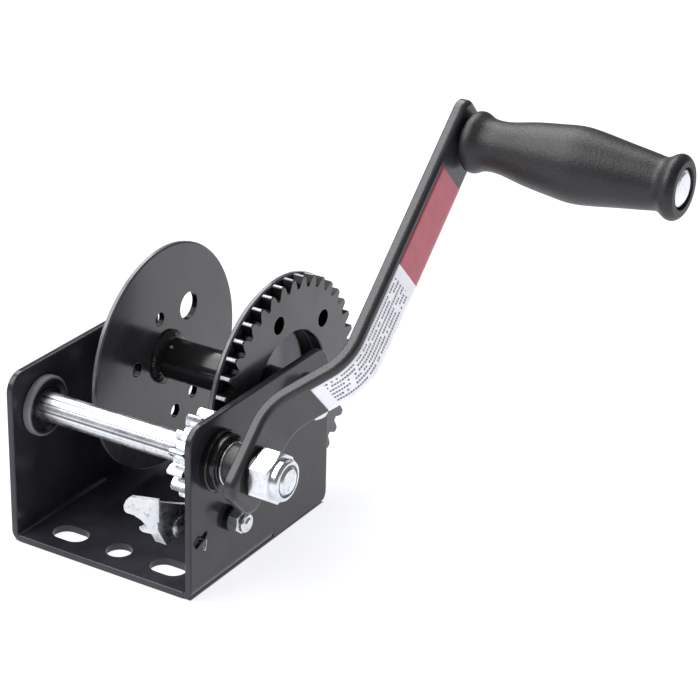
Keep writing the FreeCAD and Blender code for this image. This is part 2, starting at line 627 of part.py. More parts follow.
def drum_gear():
    root = CENTRE_DISTANCE - PINION_TIP_RADIUS - ROOT_CLEARANCE
    gear = gear_blank(GEAR_TEETH, GEAR_TIP_RADIUS, root, GEAR_PHASE, GEAR_BACK_X, GEAR_FRONT_X, DRUM_AXIS)
    soft = 0.5
    past = GEAR_FRONT_X + 0.1
    before = GEAR_BACK_X - 1
    gear = gear.cut(turned([(before, 0), (before, DISH_RADIUS), (GEAR_FRONT_X - soft, DISH_RADIUS),
                            (past, DISH_RADIUS + soft), (past, 0)], DRUM_AXIS))
    for index in range(GEAR_HOLES):
        centre = on_drum(GEAR_HOLE_CIRCLE, GEAR_HOLE_START + 360 / GEAR_HOLES * index)
        gear = gear.cut(rod(GEAR_BACK_X - 1, GEAR_FRONT_X + 1, GEAR_HOLE_RADIUS, centre))
    return gear


def axle_sleeve():
    return ring(-INNER_X, INNER_X, SLEEVE_RADIUS, AXLE_RADIUS + SHAFT_FIT, DRUM_AXIS)


def axle_bolt():
    head_start = OUTER_X + AXLE_WASHER_THICKNESS
    head_height = 6.4
    tip = -OUTER_X - 13.6
    thread = AXLE_RADIUS - 0.1
    thread_start = -OUTER_X - 1.0
    head = hex_prism(head_start, head_start + head_height, AXLE_FLATS, DRUM_AXIS, AXLE_HEX_TURN)
    shank = turned([(tip, 0), (tip, AXLE_RADIUS - 1.0), (tip + 1.0, thread), (thread_start, thread),
                    (thread_start, AXLE_RADIUS), (head_start, AXLE_RADIUS), (head_start, 0)], DRUM_AXIS)
    return head.fuse(shank).removeSplitter()


def axle_washers():
    """One plain washer under the bolt head and one under the nut."""
    washers = []
    for start in (OUTER_X, -OUTER_X - AXLE_WASHER_THICKNESS):
        washers.append(ring(start, start + AXLE_WASHER_THICKNESS, 2 * AXLE_RADIUS, AXLE_RADIUS + SHAFT_FIT,
                            DRUM_AXIS))
    return Part.makeCompound(washers)


def axle_nut():
    """Lock nut: built at the origin with its seat at x = 0, then turned to face -X."""
    height = 10.0
    hexagon_end = 7.6
    collar_radius = 7.6
    at_origin = (0, 0)
    nut = hex_prism(0.0, hexagon_end, AXLE_FLATS, at_origin, AXLE_HEX_TURN)
    collar = turned([(hexagon_end - 0.6, 0), (hexagon_end - 0.6, collar_radius), (height - 0.6, collar_radius),
                     (height, collar_radius - 0.6), (height, 0)], at_origin)
    nut = nut.fuse(collar).cut(rod(-1.0, height + 1.0, AXLE_RADIUS - SHAFT_FIT, at_origin))
    nut.rotate(vec(0, 0, 0), Z_DIRECTION, 180)
    nut.translate(vec(-OUTER_X - AXLE_WASHER_THICKNESS, DRUM_Y, DRUM_Z))
    return nut


# ---- pawl ---------------------------------------------------------------------------------------
def pawl():
    """Toothed plate beside the frame, with a bent front flange, a finger tab and a rim down its leg."""
    back = PAWL_FACE_X - PAWL_THICKNESS
    inside_front = PAWL_FRONT + PAWL_THICKNESS
    plate = side_plate(back, PAWL_FACE_X, [
        (inside_front, 44.6), (-6.0, 37.2), (1.5, 33.6), (5.2, 35.4), (8.2, 33.2), (14.0, 34.0), (17.8, 36.0),
        (20.2, 33.4), (19.0, 29.5), (19.4, 25.0), (16.6, 20.6), (12.6, 19.0), (8.4, 20.4), (-6.0, 24.0),
        (-11.4, 25.6), (-14.2, 24.0), (-16.4, 24.2), (-19.7, 29.4), (inside_front, 30.5)])
    plate = plate.cut(rod(back - 1, PAWL_FACE_X + 1, PAWL_SLEEVE_RADIUS + SHAFT_FIT, PAWL_AXIS))

    # The flange lies across the front edge; its outline is (x, z) in the plane of that edge.
    tab = [(PAWL_FACE_X, 46.1), (22.5, 43.9), (21.0, 42.2), (20.0, 39.6), (20.2, 37.8), (21.2, 37.0),
           (24.8, 37.0), (28.0, 36.0), (29.8, 34.7), (30.3, 33.8), (28.6, 33.7), (27.2, 32.8), (27.4, 31.7),
           (28.6, 31.0), (PAWL_FACE_X, 31.6)]
    points = [vec(x, PAWL_FRONT, z) for x, z in tab]
    flange = Part.Face(Part.makePolygon(points + points[:1])).extrude(vec(0, PAWL_THICKNESS, 0))
    bend = edges_where(flange, lambda middle: abs(middle.x - PAWL_FACE_X) < NEAR
                       and abs(middle.y - PAWL_FRONT) < NEAR)
    flange = flange.makeFillet(PAWL_BEND_RADIUS, bend)
    rim = side_plate(PAWL_FACE_X - PAWL_LEG_WIDTH, PAWL_FACE_X, [
        (-22.0, 33.6), (-19.7, 29.4), (-16.4, 24.2), (-14.2, 24.0), (-14.4, 25.6), (-17.4, 30.6), (-19.6, 34.4),
        (inside_front, 36.0), (-22.0, 36.0)])
    boss = turned([(back, 0), (back, PAWL_BOSS_RADIUS), (PAWL_FACE_X + 0.4, PAWL_BOSS_RADIUS),
                   (PAWL_FACE_X + 1.1, PAWL_BOSS_RADIUS - 1.0), (PAWL_FACE_X + 1.4, 0)], PAWL_BOSS)
    return plate.fuse(flange).fuse(rim).fuse(boss).removeSplitter()


def pawl_sleeve():
    return ring(PAWL_HEAD_X, INNER_X, PAWL_SLEEVE_RADIUS, PAWL_BOLT_RADIUS + SHAFT_FIT, PAWL_AXIS)


def pawl_bolt():
    """Bolt with a domed head on the drum side of the pawl."""
    head_radius = 7.0
    tip = OUTER_X + 9.6
    head = turned([(PAWL_HEAD_X - 3.6, 0), (PAWL_HEAD_X - 3.6, head_radius - 3.4),
                   (PAWL_HEAD_X - 2.4, head_radius - 1.2), (PAWL_HEAD_X - 0.8, head_radius),
                   (PAWL_HEAD_X, head_radius), (PAWL_HEAD_X, 0)], PAWL_AXIS)
    shank = turned([(PAWL_HEAD_X, 0), (PAWL_HEAD_X, PAWL_BOLT_RADIUS), (tip - 0.8, PAWL_BOLT_RADIUS),
                    (tip, PAWL_BOLT_RADIUS - 0.8), (tip, 0)], PAWL_AXIS)
    return head.fuse(shank).removeSplitter()


def pawl_washer():
    return ring(OUTER_X, OUTER_X + PAWL_WASHER_THICKNESS, PAWL_WASHER_RADIUS, PAWL_BOLT_RADIUS + SHAFT_FIT,
                PAWL_AXIS)


def pawl_nut():
    start = OUTER_X + PAWL_WASHER_THICKNESS
    hexagon_end = start + 4.3
    end = start + 6.5
    collar_radius = 3.9
    turn = 20.0
    nut = hex_prism(start, hexagon_end, PAWL_NUT_FLATS, PAWL_AXIS, turn)
    collar = turned([(hexagon_end - 0.5, 0), (hexagon_end - 0.5, collar_radius), (end - 0.6, collar_radius),
                     (end, collar_radius - 0.5), (end, 0)], PAWL_AXIS)
    return nut.fuse(collar).cut(rod(start - 1, end + 1, PAWL_BOLT_RADIUS + NEAR, PAWL_AXIS))


def pawl_spring():
    """Torsion spring on the pawl sleeve with one leg hooked through the slot in the plate."""
    wire = 0.6
    coil_radius = 6.1
    coil_x = PAWL_FACE_X + 1.2
    pitch = 1.45
    turns = 2.25
    start_angle = math.radians(150.0)
    steps_per_turn = 12
    coil = []
    for step in range(int(turns * steps_per_turn) + 1):
        angle = start_angle + 2 * math.pi * step / steps_per_turn
        coil.append(vec(coil_x + pitch * step / steps_per_turn, PAWL_Y + coil_radius * math.cos(angle),
                        PAWL_Z + coil_radius * math.sin(angle)))
    curve = Part.BSplineCurve()
    curve.interpolate(coil)
    first = coil[0]
    last = coil[-1]
    anchor = vec(last.x, SPRING_SLOT[0] + 0.6, SPRING_SLOT[1] + 0.3)
    outer = vec(OUTER_X + 1.6, anchor.y, anchor.z)
    hook = vec(OUTER_X + 2.4, anchor.y - 1.8, anchor.z - 3.0)
    free_end = vec(first.x, -1.0, 30.2)

    def leg(points):
        """Straight wire through the points, with a ball at every one of them."""
        shape = Part.makeSphere(wire, points[0])
        for begin, finish in zip(points, points[1:]):
            direction = finish - begin
            shape = shape.fuse(Part.makeCylinder(wire, direction.Length, begin, direction))
            shape = shape.fuse(Part.makeSphere(wire, finish))
        return shape

    section = Part.Wire([Part.makeCircle(wire, first, curve.tangent(curve.FirstParameter)[0])])
    coil_body = Part.Wire([curve.toShape()]).makePipeShell([section], True, True)
    return coil_body.fuse(leg([last, anchor, outer, hook])).fuse(leg([first, free_end]))


# ---- write every piece --------------------------------------------------------------------------
PIECES = (frame, left_shaft_bush, right_shaft_bush, pinion_shaft, pinion_gear, pinion_collar, shaft_end_washer,
          shaft_retaining_clip, handle_washer, handle_spacer, crank_bar, nut_washer, handle_nut, nut_lock_ring,
          grip_washer, grip, grip_rivet, drum_left_flange, drum_hub, hub_weld_collar, drum_right_flange,
          drum_gear, axle_sleeve, axle_bolt, axle_washers, axle_nut, pawl, pawl_sleeve, pawl_bolt, pawl_washer,
          pawl_nut, pawl_spring)

os.makedirs("parts", exist_ok=True)
for piece in PIECES:
    shape = piece()
    shape.exportStep("parts/" + piece.__name__ + ".step")
    print(piece.__name__, len(shape.Solids), "solid(s), volume", round(shape.Volume, 1), shape.isValid())
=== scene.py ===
"""Looks of the boat trailer winch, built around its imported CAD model. Metres, in the CAD's own frame:
X along the drum towards the crank, Y from the pinion end to the drum end, Z up."""
import json
import math

import bmesh
import bpy
from mathutils import Matrix, Vector
from mathutils.bvhtree import BVHTree


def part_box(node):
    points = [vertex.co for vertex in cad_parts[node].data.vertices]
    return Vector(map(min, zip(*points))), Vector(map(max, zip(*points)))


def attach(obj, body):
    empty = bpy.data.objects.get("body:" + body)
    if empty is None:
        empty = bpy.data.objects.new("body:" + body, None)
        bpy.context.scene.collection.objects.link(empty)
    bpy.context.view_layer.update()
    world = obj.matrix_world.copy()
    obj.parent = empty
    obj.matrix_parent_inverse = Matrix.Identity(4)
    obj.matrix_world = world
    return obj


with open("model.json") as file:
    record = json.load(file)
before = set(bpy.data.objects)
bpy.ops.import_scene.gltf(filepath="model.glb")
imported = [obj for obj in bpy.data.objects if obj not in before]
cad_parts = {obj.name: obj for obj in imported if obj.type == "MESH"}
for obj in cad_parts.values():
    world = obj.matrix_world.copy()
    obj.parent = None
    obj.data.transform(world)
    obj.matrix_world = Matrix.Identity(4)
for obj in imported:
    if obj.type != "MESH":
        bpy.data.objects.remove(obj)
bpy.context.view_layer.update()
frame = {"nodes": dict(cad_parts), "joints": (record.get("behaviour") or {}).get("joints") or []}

MM = 0.001
NODES = frame["nodes"]
JOINTS = {joint["name"]: joint for joint in frame["joints"]}
DRUM_AXIS = Vector(JOINTS["drum_spin"]["pos_m"])
PINION_AXIS = Vector(JOINTS["crank_spin"]["pos_m"])
GRIP_AXIS = Vector(JOINTS["grip_spin"]["pos_m"])
BASE_LOW, BASE_HIGH = (Vector(corner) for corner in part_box("frame"))
BAR_LOW, BAR_HIGH = (Vector(corner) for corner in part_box("crank_bar"))


def radius_of(node):
    """Outer radius of a round node whose axis runs along X."""
    low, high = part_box(node)
    return (high[2] - low[2]) / 2


# ---- material helpers ---------------------------------------------------------------------------
class Painter:
    """Builds one node material step by step; every method returns an output socket."""

    def __init__(self, name):
        self.material = bpy.data.materials.new(name)
        self.material.use_nodes = True
        self.tree = self.material.node_tree
        self.tree.nodes.clear()
        self.shader = self.tree.nodes.new("ShaderNodeBsdfPrincipled")
        output = self.tree.nodes.new("ShaderNodeOutputMaterial")
        self.tree.links.new(self.shader.outputs[0], output.inputs[0])

    def node(self, kind, **settings):
        made = self.tree.nodes.new(kind)
        for key, value in settings.items():
            setattr(made, key, value)
        return made

    def link(self, source, target):
        self.tree.links.new(source, target)

    def set(self, **values):
        """Constant values on the shader, by socket name with underscores for spaces."""
        for key, value in values.items():
            self.shader.inputs[key.replace("_", " ")].default_value = value

    def place(self, stretch=(1, 1, 1), origin=(0, 0, 0), uv=False):
        """Object coordinates in metres, moved to an origin and stretched."""
        source = self.node("ShaderNodeTexCoord").outputs["UV" if uv else "Object"]
        shift = self.node("ShaderNodeVectorMath", operation="SUBTRACT")
        shift.inputs[1].default_value = origin
        self.link(source, shift.inputs[0])
        scale = self.node("ShaderNodeVectorMath", operation="MULTIPLY")
        scale.inputs[1].default_value = stretch
        self.link(shift.outputs[0], scale.inputs[0])
        return scale.outputs[0]

    def split(self, vector):
        """The three channels of a vector."""
        made = self.node("ShaderNodeSeparateXYZ")
        self.link(vector, made.inputs[0])
        return made.outputs[0], made.outputs[1], made.outputs[2]

    def polar(self, origin):
        """(x, angle, radius) round an axis along X."""
        x, y, z = self.split(self.place(origin=origin))
        square = self.math("ADD", self.product(y, y), self.product(z, z))
        return x, self.math("ARCTAN2", z, y), self.math("SQRT", square)

    def around_x(self, origin, length_scale, turn_scale):
        """Coordinates round an axis along X, for marks left by turning or drawing."""
        x, angle, radius = self.polar(origin)
        join = self.node("ShaderNodeCombineXYZ")
        for index, parts in enumerate(((x, length_scale), (angle, turn_scale), (radius, length_scale))):
            self.link(self.product(*parts), join.inputs[index])
        return join.outputs[0]

    def math(self, operation, first, second=None):
        """Arithmetic on sockets or plain numbers."""
        made = self.node("ShaderNodeMath", operation=operation)
        for index, value in enumerate((first, second)):
            if value is None:
                continue
            if isinstance(value, (int, float)):
                made.inputs[index].default_value = value
            else:
                self.link(value, made.inputs[index])
        return made.outputs[0]

    def product(self, *factors):
        """Product of sockets and plain numbers."""
        result = factors[0]
        for factor in factors[1:]:
            result = self.math("MULTIPLY", result, factor)
        return result

    def noise(self, vector, scale, detail=3.0, roughness=0.5):
        made = self.node("ShaderNodeTexNoise")
        made.inputs["Scale"].default_value = scale
        made.inputs["Detail"].default_value = detail
        made.inputs["Roughness"].default_value = roughness
        self.link(vector, made.inputs["Vector"])
        return made.outputs["Fac"]

    def cells(self, vector, scale):
        """Distance to the nearest of many scattered points."""
        made = self.node("ShaderNodeTexVoronoi")
        made.inputs["Scale"].default_value = scale
        self.link(vector, made.inputs["Vector"])
        return made.outputs["Distance"]

    def spread(self, factor, low, high, start=0.3, end=0.7):
        """Maps a factor from start..end to low..high."""
        made = self.node("ShaderNodeMapRange")
        for name, value in (("From Min", start), ("From Max", end), ("To Min", low), ("To Max", high)):
            made.inputs[name].default_value = value
        self.link(factor, made.inputs["Value"])
        return made.outputs[0]

    def ramp(self, factor, stops):
        """Colour ramp; stops is a list of (place, colour)."""
        made = self.node("ShaderNodeValToRGB")
        elements = made.color_ramp.elements
        while len(elements) < len(stops):
            elements.new(0.5)
        for element, (place, colour) in zip(elements, stops):
            element.position = place
            element.color = (*colour, 1)
        self.link(factor, made.inputs[0])
        return made.outputs[0]

    def mix(self, factor, first, second):
        """Mix of two colours, each a socket or a plain colour."""
        made = self.node("ShaderNodeMix", data_type="RGBA")
        self.link(factor, made.inputs["Factor"])
        for socket, value in ((made.inputs[6], first), (made.inputs[7], second)):
            if isinstance(value, tuple):
                socket.default_value = (*value, 1)
            else:
                self.link(value, socket)
        return made.outputs[2]

    def across_x(self):
        """1 on faces that look across the X axis, 0 on faces that look along it; also the normal's X."""
        facing = self.split(self.node("ShaderNodeNewGeometry").outputs["Normal"])[0]
        return self.spread(self.math("ABSOLUTE", facing), 1.0, 0.0, 0.3, 0.7), facing

    def edges(self, radius):
        """1 on the flat and less towards an edge, from how far a rounded normal leans; also that normal."""
        soft = self.node("ShaderNodeBevel", samples=6)
        soft.inputs["Radius"].default_value = radius
        dot = self.node("ShaderNodeVectorMath", operation="DOT_PRODUCT")
        self.link(soft.outputs[0], dot.inputs[0])
        self.link(self.node("ShaderNodeNewGeometry").outputs["Normal"], dot.inputs[1])
        return dot.outputs["Value"], soft.outputs[0]

    def bump(self, height, distance, strength=1.0, normal=None):
        made = self.node("ShaderNodeBump")
        made.inputs["Strength"].default_value = strength
        made.inputs["Distance"].default_value = distance
        self.link(height, made.inputs["Height"])
        if normal is not None:
            self.link(normal, made.inputs["Normal"])
        return made.outputs[0]

    def finish(self, colour, roughness, normal=None):
        """Plugs the sockets into the shader and returns the material."""
        for socket, name in ((colour, "Base Color"), (roughness, "Roughness"), (normal, "Normal")):
            if socket is not None:
                self.link(socket, self.shader.inputs[name])
        return self.material


# ---- materials ----------------------------------------------------------------------------------
BLUE_TINT = 1.09
BLACK = 0.006

# Scales of the patterns, in cells per metre.
COAT_CLOUDS = 55.0
COAT_MOTTLE = 520.0
COAT_DUST = 700.0
COAT_PEEL = 900.0
SCUFF_GRAIN = 1400.0
ZINC_HAZE = 130.0
ZINC_BLOTS = 420.0
ZINC_GRAIN = 1500.0
PLASTIC_CLOUDS = 60.0
WIRE_MARKS = 900.0
NYLON_CLOUDS = 300.0
PRINT_CLOUDS = 160.0
PRINT_GRAIN = 900.0

# Softness of borders between two looks, and depth of the finest relief.
RIM_BLUR = 0.3 * MM
DISC_BLUR = 0.4 * MM
COAT_EDGE = 0.3 * MM
ZINC_EDGE = 0.25 * MM
FINE_RELIEF = 0.006 * MM

ZINC_LOW = (0.76, 0.8, 0.86)
ZINC_HIGH = (0.98, 0.99, 1.0)
ZINC_STAIN = (0.1, 0.1, 0.11)
# Dark lengthwise lines on the shaft: partly drawing marks, partly painted reflection of dark surroundings.
ZINC_STREAK_AND_REFLECTION = (0.07, 0.075, 0.09)
ZINC_WORN_EDGE = (0.98, 0.98, 1.0)
PLASTIC_PALE = 2.2


def grey(tone, blue=BLUE_TINT):
    """Neutral tone with a little more blue."""
    return (tone, tone * 0.985, tone * blue)


def powder_coat(name, tone, gloss, wear=0.3, edge_tone=0.07, ior=1.5, blue=BLUE_TINT, disc=None, wheel=None,
                ripple=None, scuffs_and_highlight=None):
    """Black powder coat: slight orange peel, cloudy gloss, dust specks and thin paint on the edges.

    disc is (axis, radius, tone) of a paler disc that looks towards +X: painted light, standing in for the
    bright floor that it mirrors. wheel is (axis, radius, tone) of a painted highlight on faces that look
    across the axis at that radius and beyond; inside that radius those faces get painted shade, black and
    less shiny. ripple is (axis, depth) of weld ripples. scuffs is (tone, x where they start, x where they are
    full) of pale grainy scuff marks on faces that look across the X axis, partly a painted highlight that
    grows towards the outer end."""
    p = Painter(name)
    flat, soft_normal = p.edges(COAT_EDGE)
    side, facing = p.across_x()
    cloud = p.noise(p.place(), COAT_CLOUDS, 4.0, 0.6)
    fine = p.noise(p.place(), COAT_MOTTLE, 3.0, 0.6)
    speck = p.spread(p.cells(p.place(), COAT_DUST), 0.12, 0.0, 0.0, 0.1)
    rough = p.math("ADD", p.spread(cloud, gloss - 0.03, gloss + 0.05), speck)
    p.set(IOR=ior)
    colour = p.ramp(cloud, [(0.3, grey(tone * 0.7, blue)), (0.72, grey(tone * 1.3, blue))])
    # Painted light: faces that look towards +X inside the radius are painted paler, for the bright floor that
    # they mirror.
    if disc is not None:
        axis, radius, disc_tone = disc
        inside = p.spread(p.polar(axis)[2], 1.0, 0.0, radius - DISC_BLUR, radius)
        colour = p.mix(p.product(inside, p.spread(facing, 0.0, 1.0, 0.6, 0.9)), colour, grey(disc_tone))
    rubbed = p.product(p.spread(flat, wear, 0.0, 0.75, 0.98), p.spread(fine, 0.0, 1.0, 0.42, 0.62))
    colour = p.mix(rubbed, colour, grey(edge_tone))
    # Pale grainy scuff marks on the bar's edges, partly painted highlight: stronger towards the outer end,
    # which catches more light.
    if scuffs_and_highlight is not None:
        scuff_and_highlight_tone, start, full = scuffs_and_highlight
        grain = p.spread(p.noise(p.place(), SCUFF_GRAIN, 4.0, 0.7), 0.1, 1.0, 0.4, 0.62)
        outward = p.spread(p.split(p.place())[0], 0.25, 1.0, start, full)
        colour = p.mix(p.product(side, grain, outward), colour, grey(scuff_and_highlight_tone))
    # Painted highlight on faces that look across the axis at the rim, and painted shade, black and less
    # shiny, on those faces inside it.
    if wheel is not None:
        axis, radius, rim_tone = wheel
        rim = p.spread(p.polar(axis)[2], 0.0, 1.0, radius - RIM_BLUR, radius)
        shade_and_dull = p.product(side, p.math("SUBTRACT", 1.0, rim))
        colour = p.mix(shade_and_dull, colour, grey(BLACK))
        colour = p.mix(p.product(side, rim, p.spread(fine, 0.6, 1.0)), colour, grey(rim_tone))
        p.link(p.spread(shade_and_dull, 0.5, 0.1, 0.0, 1.0), p.shader.inputs["Specular IOR Level"])
    normal = p.bump(p.noise(p.place(), COAT_PEEL, 2.0, 0.55), FINE_RELIEF, 0.6, soft_normal)
    if ripple is not None:
        axis, depth = ripple
        normal = p.bump(p.noise(p.around_x(axis, 120.0, 1.6), 2.6, 3.0, 0.6), depth, 1.0, normal)
    return p.finish(colour, rough, normal)


def zinc(name, bright, gloss, axis=None, along=40.0, around=3.0, stain=0.0, streaks_and_reflection=0.0):
    """Bright zinc plate: bluish silver with haze, stains and worn edges.

    With an axis, turning marks run round it, or along it where "around" is the larger scale; streaks is how
    strong the dark lengthwise lines are, partly drawing marks and partly painted reflection of dark
    surroundings.
    End faces stay free of both."""
    p = Painter(name)
    flat, soft_normal = p.edges(ZINC_EDGE)
    haze = p.noise(p.place(), ZINC_HAZE, 4.0, 0.6)
    blots = p.noise(p.place(), ZINC_BLOTS, 5.0, 0.68)
    colour = p.ramp(haze, [(0.28, tuple(channel * bright for channel in ZINC_LOW)),
                           (0.68, tuple(channel * bright for channel in ZINC_HIGH))])
    colour = p.mix(p.spread(blots, 0.0, stain, 0.52, 0.7), colour, ZINC_STAIN)
    if axis is None:
        marks = p.noise(p.place(stretch=(1.0, 0.18, 0.6)), ZINC_GRAIN, 3.0)
    else:
        side = p.across_x()[0]
        marks = p.product(side, p.noise(p.around_x(axis, along, around), 26.0, 3.0, 0.6))
        # Dark lengthwise lines, partly drawing marks and partly painted reflection of the dark surroundings
        # in the shaft.
        if streaks_and_reflection:
            lines = p.noise(p.around_x(axis, 1.5, 2.4), 1.3, 2.0, 0.55)
            colour = p.mix(p.product(side, p.spread(lines, 0.0, streaks_and_reflection, 0.54, 0.61)), colour, ZINC_STREAK_AND_REFLECTION)
    colour = p.mix(p.spread(flat, 0.7, 0.0, 0.7, 0.98), colour, ZINC_WORN_EDGE)
    rough = p.math("ADD", p.spread(haze, gloss - 0.05, gloss + 0.08), p.spread(marks, 0.0, 0.08))
    p.set(Metallic=1.0)
    return p.finish(colour, rough, p.bump(marks, FINE_RELIEF, 0.7, soft_normal))


def moulded_plastic(name, tone, gloss, grain, depth, rim=None):
    """Black moulded plastic with a spark-eroded grain and pale scuff marks on the high spots.

    rim is (axis, radius, tone) of a paler outer rim."""
    p = Painter(name)
    cloud = p.noise(p.place(), PLASTIC_CLOUDS, 3.0)
    skin = p.noise(p.place(), grain, 4.0, 0.62)
    pits = p.cells(p.place(), grain * 0.8)
    body = p.ramp(cloud, [(0.3, grey(tone * 0.8)), (0.7, grey(tone * 1.2))])
    colour = p.mix(p.spread(skin, 0.0, 0.75, 0.5, 0.72), body, grey(tone * PLASTIC_PALE))
    if rim is not None:
        axis, radius, rim_tone = rim
        on_rim = p.spread(p.polar(axis)[2], 0.0, 1.0, radius, radius + RIM_BLUR)
        colour = p.mix(on_rim, colour, grey(rim_tone))
    p.set(Specular_IOR_Level=0.5)
    height = p.math("ADD", p.product(skin, 0.7), p.product(pits, 0.5))
    return p.finish(colour, p.spread(skin, gloss - 0.06, gloss + 0.1), p.bump(height, depth))


def spring_wire(name):
    """Drawn steel wire, greyer than zinc."""
    p = Painter(name)
    marks = p.noise(p.place(), WIRE_MARKS, 2.0)
    p.set(Metallic=1.0)
    colour = p.ramp(marks, [(0.3, (0.42, 0.42, 0.43)), (0.7, (0.66, 0.66, 0.67))])
    return p.finish(colour, p.spread(marks, 0.2, 0.34), p.bump(marks, 0.004 * MM, 0.6))


def nylon(name):
    """Pale blue nylon that lets a little light in."""
    p = Painter(name)
    cloud = p.noise(p.place(), NYLON_CLOUDS, 3.0)
    p.set(Subsurface_Weight=0.15, Subsurface_Scale=0.6 * MM)
    colour = p.ramp(cloud, [(0.3, (0.35, 0.4, 0.47)), (0.7, (0.5, 0.55, 0.62))])
    return p.finish(colour, p.spread(cloud, 0.35, 0.5), p.bump(cloud, 0.02 * MM, 0.5))


LABEL_LENGTH = 101.8 * MM
LABEL_SPLIT = 62.0 * MM
LABEL_LOW = -10.9 * MM
LABEL_HIGH = 9.2 * MM
LABEL_THICKNESS = 0.12 * MM
LABEL_START = 34.2 * MM
ROW_PITCH = 2.75 * MM
ROW_SHIFT = 0.37
DASH_PITCH = 1.15 * MM
DASH_SHARE = 0.8
DASHES_LEFT_OUT = 0.16
TEXT_MARGIN = 5.0 * MM
TEXT_LOW_MARGIN = 2.0 * MM
TEXT_HIGH_MARGIN = 1.7 * MM
INK = (0.05, 0.05, 0.07)


def label_film(name):
    """Printed film: a white half with rows of small plain dashes and a muted red half, both slightly scuffed.

    Its UV runs in metres along and across the bar."""
    p = Painter(name)
    along, across, _ = p.split(p.place(uv=True))
    row = p.product(across, 1.0 / ROW_PITCH)
    row_number = p.math("FLOOR", row)
    from_middle = p.math("ABSOLUTE", p.math("SUBTRACT", p.math("FRACT", row), 0.5))
    # Every row starts at its own place, and a random number for each cell says whether ink is there.
    shifted = p.math("ADD", p.product(along, 1.0 / DASH_PITCH), p.product(row_number, ROW_SHIFT))
    cell = p.node("ShaderNodeCombineXYZ")
    p.link(p.math("FLOOR", shifted), cell.inputs[0])
    p.link(row_number, cell.inputs[1])
    chance = p.node("ShaderNodeTexWhiteNoise", noise_dimensions="2D")
    p.link(cell.outputs[0], chance.inputs["Vector"])
    scuff = p.noise(p.place(), PRINT_CLOUDS, 4.0, 0.6)
    fine = p.noise(p.place(), PRINT_GRAIN, 3.0, 0.6)
    ink = p.product(p.math("GREATER_THAN", chance.outputs["Value"], DASHES_LEFT_OUT),
                    p.math("LESS_THAN", from_middle, 0.25),
                    p.math("LESS_THAN", p.math("FRACT", shifted), DASH_SHARE),
                    p.math("GREATER_THAN", along, TEXT_MARGIN),
                    p.math("LESS_THAN", along, LABEL_SPLIT - TEXT_MARGIN),
                    p.math("GREATER_THAN", across, TEXT_LOW_MARGIN),
                    p.math("LESS_THAN", across, LABEL_HIGH - LABEL_LOW - TEXT_HIGH_MARGIN),
                    p.spread(fine, 0.75, 1.0, 0.4, 0.6))
    white = p.ramp(scuff, [(0.3, (0.74, 0.75, 0.81)), (0.7, (0.88, 0.88, 0.93))])
    red = p.ramp(scuff, [(0.3, (0.36, 0.055, 0.085)), (0.7, (0.45, 0.09, 0.125))])
    colour = p.mix(p.math("GREATER_THAN", along, LABEL_SPLIT), p.mix(ink, white, INK), red)
    # A weak glow keeps the film as pale as print should look; the light on this side is low.
    p.link(colour, p.shader.inputs["Emission Color"])
    p.set(Specular_IOR_Level=0.5, Emission_Strength=0.3)
    return p.finish(colour, p.spread(scuff, 0.3, 0.42), p.bump(fine, FINE_RELIEF, 0.5))


def dress(node, material):
    """Puts a material on every slot of a CAD node."""
    slots = NODES[node].data.materials
    if not slots:
        slots.append(material)
    for index in range(len(slots)):
        slots[index] = material


